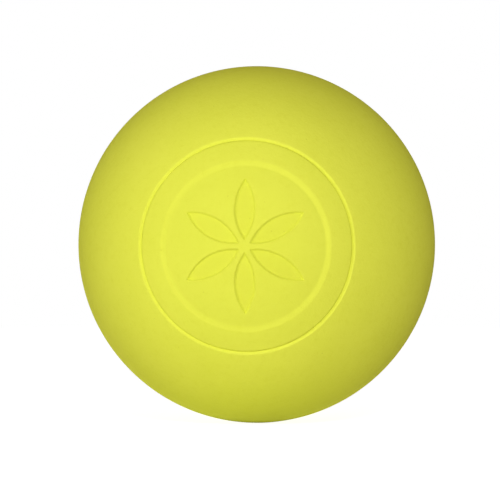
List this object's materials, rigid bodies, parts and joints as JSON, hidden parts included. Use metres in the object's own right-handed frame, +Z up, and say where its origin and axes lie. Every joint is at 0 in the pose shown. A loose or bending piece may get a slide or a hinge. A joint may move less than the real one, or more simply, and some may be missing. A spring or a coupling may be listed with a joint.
{
  "type": "lacrosse ball",
  "caption": "Solid moulded rubber ball for field lacrosse, with a core inside half covers, an engraved ring and a recessed disc with a rosette at one pole.",
  "frame": {"origin": "the ball's centre", "axes": "+Z up, -Y out of the front pole, which carries the ring, the disc and the rosette; the parting plane is Y = 0"},
  "size_m": [0.0634, 0.063, 0.0634],
  "materials": {
    "cover_rubber": "matte",
    "core_rubber": "matte"
  },
  "bodies": {
    "root": {"core": "core_rubber", "front_cover": "cover_rubber", "rear_cover": "cover_rubber"}
  },
  "joints": []
}
